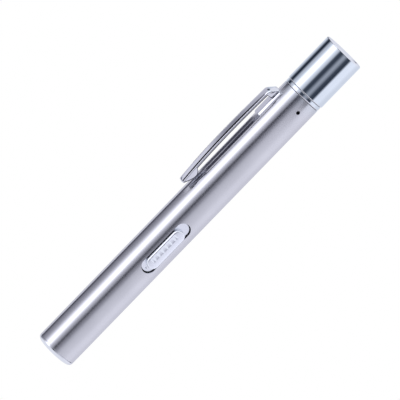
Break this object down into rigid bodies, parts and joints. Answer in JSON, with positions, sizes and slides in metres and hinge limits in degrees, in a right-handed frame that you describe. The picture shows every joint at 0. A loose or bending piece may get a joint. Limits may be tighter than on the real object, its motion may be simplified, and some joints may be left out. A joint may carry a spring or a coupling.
{
  "type": "medical penlight",
  "caption": "Pen-shaped steel diagnostic penlight with a slide switch, a spring pocket clip and a pull-off lamp head over a charging plug.",
  "frame": {"origin": "centre of the flat tail end face, on the tube's axis", "axes": "+X along the tube towards the lamp, +Y towards the pocket clip, +Z towards the slide switch"},
  "size_m": [0.134, 0.0182, 0.0149],
  "materials": {
    "satin_steel": "satin, finely brushed around the tube",
    "polished_steel": "polished",
    "clip_steel": "polished, slightly hazy",
    "switch_metal": "satin plated",
    "black_plastic": "matt moulded",
    "white_plastic": "moulded",
    "foam": "foam",
    "cell_wrap": "shrink sleeve",
    "nickel": "bright nickel",
    "circuit_board": "solder mask",
    "chip": "moulded",
    "gold": "plated",
    "led_white": "phosphor",
    "led_warm": "phosphor",
    "wire_red": "insulated",
    "wire_black": "insulated",
    "clear_plastic": "clear",
    "smoked_plastic": "smooth",
    "rubber": "matt"
  },
  "bodies": {
    "barrel": {"barrel_tube": "satin_steel", "tail_plug": "polished_steel", "tail_cushion": "foam", "collar_ring": "polished_steel", "carrier": "black_plastic", "battery_cell": "cell_wrap", "cell_button": "nickel", "cell_tab_minus": "nickel", "cell_tab_plus": "nickel", "switch_board": "circuit_board", "driver_chip": "chip", "switch_housing": "black_plastic", "switch_cover": "nickel", "switch_plate": "switch_metal", "charge_board": "circuit_board", "charge_chip": "chip", "charge_led": "led_white", "light_guide": "smoked_plastic", "plug_clamp_upper": "white_plastic", "plug_clamp_lower": "white_plastic", "plug_shell": "nickel", "plug_tongue": "white_plastic", "plug_contact_1": "gold", "plug_contact_2": "gold", "plug_contact_3": "gold", "plug_contact_4": "gold", "wire_red": "wire_red", "wire_black": "wire_black", "clip_foot": "clip_steel"},
    "switch_slider": {"switch_knob": "switch_metal", "switch_lever": "white_plastic"},
    "clip": {"clip_arm": "clip_steel"},
    "head": {"head_shell": "polished_steel", "head_socket": "white_plastic", "socket_spring_1": "gold", "socket_spring_2": "gold", "socket_spring_3": "gold", "socket_spring_4": "gold", "lamp_board": "circuit_board", "led_white": "led_white", "led_warm": "led_warm", "reflector": "polished_steel", "lens": "clear_plastic", "lens_gasket": "rubber"}
  },
  "joints": [
    {"name": "switch_slide", "type": "slide", "parent": "barrel", "child": "switch_slider", "axis": [1, 0, 0], "range_m": [-0.0018, 0.0018]},
    {"name": "head_pull", "type": "slide", "parent": "barrel", "child": "head", "axis": [1, 0, 0], "range_m": [0, 0.022]},
    {"name": "clip_flex", "type": "hinge", "parent": "barrel", "child": "clip", "pos_m": [0.1072, 0.0102, 0], "axis": [0, 0, -1], "range_deg": [0, 5], "stiffness_Nm_per_rad": 0.05}
  ]
}
